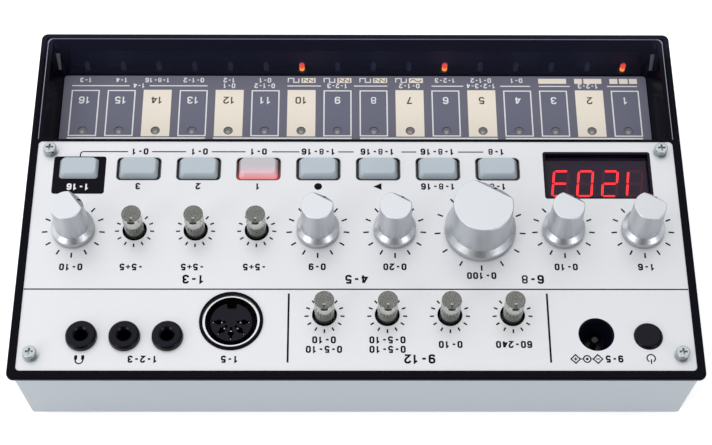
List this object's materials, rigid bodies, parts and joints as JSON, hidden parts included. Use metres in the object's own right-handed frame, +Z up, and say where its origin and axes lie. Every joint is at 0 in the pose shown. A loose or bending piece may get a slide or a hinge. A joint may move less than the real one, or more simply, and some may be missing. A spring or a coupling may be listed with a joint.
{
  "type": "desktop bass synthesizer",
  "caption": "Small desktop synthesizer: silver control panel with metal knobs, clear stems, square buttons and sockets, and a sunken touch keyboard strip.",
  "frame": {"origin": "centre of the footprint, on the plane the feet stand on", "axes": "+Z up, +X to the player's right, +Y away from the player, towards the sockets"},
  "size_m": [0.1934, 0.1156, 0.0463],
  "materials": {
    "case_grey": "satin silver-grey",
    "case_black": "satin black",
    "lens_smoke": "smoked, see-through",
    "panel_silver": "fine satin with dark print",
    "screw_steel": "bright",
    "strip_grey": "satin film with print",
    "light_red": "clear red",
    "window_smoke": "dark see-through",
    "part_black": "satin",
    "knob_metal": "turned, satin",
    "shaft_metal": "turned",
    "stem_clear": "cloudy clear",
    "button_blue": "milky, see-through",
    "board_green": "varnished",
    "cone_paper": "dull",
    "cell_skin": "gloss",
    "foot_rubber": "dull"
  },
  "bodies": {
    "case": {"bottom_case": "case_grey", "top_case": "case_black", "led_lens": "lens_smoke", "panel_plate": "panel_silver", "panel_screws": "screw_steel", "case_screws": "screw_steel", "battery_contacts": "screw_steel", "touch_strip": "strip_grey", "step_leds": "light_red", "key_leds": "light_red", "display_window": "window_smoke", "display_frame": "part_black", "display_module": "part_black", "power_jack": "part_black", "midi_housing": "part_black", "midi_insert": "part_black", "mini_jacks": "part_black", "button_switches": "part_black", "power_switch": "part_black", "trimmer_pots": "part_black", "board_parts": "part_black", "speaker_frame": "part_black", "power_jack_pin": "shaft_metal", "midi_shield": "shaft_metal", "knob_pots": "shaft_metal", "main_board": "board_green", "touch_board": "board_green", "speaker_cone": "cone_paper", "battery_cells": "cell_skin", "rubber_feet": "foot_rubber"},
    "volume": {"volume_knob": "knob_metal", "volume_shaft": "shaft_metal"},
    "lfo_amount": {"lfo_amount_knob": "knob_metal", "lfo_amount_shaft": "shaft_metal"},
    "lfo_rate": {"lfo_rate_knob": "knob_metal", "lfo_rate_shaft": "shaft_metal"},
    "cutoff": {"cutoff_knob": "knob_metal", "cutoff_shaft": "shaft_metal"},
    "peak": {"peak_knob": "knob_metal", "peak_shaft": "shaft_metal"},
    "octave": {"octave_knob": "knob_metal", "octave_shaft": "shaft_metal"},
    "pitch_three": {"pitch_three_stem": "stem_clear"},
    "pitch_two": {"pitch_two_stem": "stem_clear"},
    "pitch_one": {"pitch_one_stem": "stem_clear"},
    "sweep": {"sweep_stem": "stem_clear"},
    "decay": {"decay_stem": "stem_clear"},
    "attack": {"attack_stem": "stem_clear"},
    "tempo": {"tempo_stem": "stem_clear"},
    "func": {"func_button": "button_blue"},
    "mute_three": {"mute_three_button": "button_blue"},
    "mute_two": {"mute_two_button": "button_blue"},
    "mute_one": {"mute_one_button": "button_blue"},
    "record": {"record_button": "button_blue"},
    "play": {"play_button": "button_blue"},
    "step_mode": {"step_mode_button": "button_blue"},
    "memory": {"memory_button": "button_blue"},
    "power": {"power_button": "button_blue"},
    "battery_door": {"battery_cover": "case_grey"}
  },
  "joints": [
    {"name": "volume_turn", "type": "hinge", "parent": "case", "child": "volume", "pos_m": [0.08165, 0.01095, 0.031], "axis": [0, 0, -1], "range_deg": [-23, 277]},
    {"name": "lfo_amount_turn", "type": "hinge", "parent": "case", "child": "lfo_amount", "pos_m": [0.0111, 0.01095, 0.031], "axis": [0, 0, -1], "range_deg": [0, 300]},
    {"name": "lfo_rate_turn", "type": "hinge", "parent": "case", "child": "lfo_rate", "pos_m": [-0.0111, 0.01095, 0.031], "axis": [0, 0, -1], "range_deg": [0, 300]},
    {"name": "cutoff_turn", "type": "hinge", "parent": "case", "child": "cutoff", "pos_m": [-0.0358, 0.01095, 0.031], "axis": [0, 0, -1], "range_deg": [0, 300]},
    {"name": "peak_turn", "type": "hinge", "parent": "case", "child": "peak", "pos_m": [-0.0599, 0.01095, 0.031], "axis": [0, 0, -1], "range_deg": [0, 300]},
    {"name": "octave_turn", "type": "hinge", "parent": "case", "child": "octave", "pos_m": [-0.0829, 0.01095, 0.031], "axis": [0, 0, -1], "range_deg": [0, 300]},
    {"name": "pitch_three_turn", "type": "hinge", "parent": "case", "child": "pitch_three", "pos_m": [0.06402, 0.01095, 0.031], "axis": [0, 0, -1], "range_deg": [-140, 140]},
    {"name": "pitch_two_turn", "type": "hinge", "parent": "case", "child": "pitch_two", "pos_m": [0.04639, 0.01095, 0.031], "axis": [0, 0, -1], "range_deg": [-140, 140]},
    {"name": "pitch_one_turn", "type": "hinge", "parent": "case", "child": "pitch_one", "pos_m": [0.02876, 0.01095, 0.031], "axis": [0, 0, -1], "range_deg": [-140, 140]},
    {"name": "sweep_turn", "type": "hinge", "parent": "case", "child": "sweep", "pos_m": [0.009, 0.03805, 0.031], "axis": [0, 0, -1], "range_deg": [-140, 140]},
    {"name": "decay_turn", "type": "hinge", "parent": "case", "child": "decay", "pos_m": [-0.00863, 0.03805, 0.031], "axis": [0, 0, -1], "range_deg": [-140, 140]},
    {"name": "attack_turn", "type": "hinge", "parent": "case", "child": "attack", "pos_m": [-0.02626, 0.03805, 0.031], "axis": [0, 0, -1], "range_deg": [-140, 140]},
    {"name": "tempo_turn", "type": "hinge", "parent": "case", "child": "tempo", "pos_m": [-0.04389, 0.03805, 0.031], "axis": [0, 0, -1], "range_deg": [-140, 140]},
    {"name": "func_press", "type": "slide", "parent": "case", "child": "func", "axis": [0, 0, -1], "range_m": [0, 0.0008], "stiffness_N_per_m": 400, "springref_m": -0.0005},
    {"name": "mute_three_press", "type": "slide", "parent": "case", "child": "mute_three", "axis": [0, 0, -1], "range_m": [0, 0.0008], "stiffness_N_per_m": 400, "springref_m": -0.0005},
    {"name": "mute_two_press", "type": "slide", "parent": "case", "child": "mute_two", "axis": [0, 0, -1], "range_m": [0, 0.0008], "stiffness_N_per_m": 400, "springref_m": -0.0005},
    {"name": "mute_one_press", "type": "slide", "parent": "case", "child": "mute_one", "axis": [0, 0, -1], "range_m": [0, 0.0008], "stiffness_N_per_m": 400, "springref_m": -0.0005},
    {"name": "record_press", "type": "slide", "parent": "case", "child": "record", "axis": [0, 0, -1], "range_m": [0, 0.0008], "stiffness_N_per_m": 400, "springref_m": -0.0005},
    {"name": "play_press", "type": "slide", "parent": "case", "child": "play", "axis": [0, 0, -1], "range_m": [0, 0.0008], "stiffness_N_per_m": 400, "springref_m": -0.0005},
    {"name": "step_mode_press", "type": "slide", "parent": "case", "child": "step_mode", "axis": [0, 0, -1], "range_m": [0, 0.0008], "stiffness_N_per_m": 400, "springref_m": -0.0005},
    {"name": "memory_press", "type": "slide", "parent": "case", "child": "memory", "axis": [0, 0, -1], "range_m": [0, 0.0008], "stiffness_N_per_m": 400, "springref_m": -0.0005},
    {"name": "power_press", "type": "slide", "parent": "case", "child": "power", "axis": [0, 0, -1], "range_m": [0, 0.0008], "stiffness_N_per_m": 400, "springref_m": -0.0005},
    {"name": "battery_door_slide", "type": "slide", "parent": "case", "child": "battery_door", "axis": [0, 1, 0], "range_m": [0, 0.006]}
  ]
}
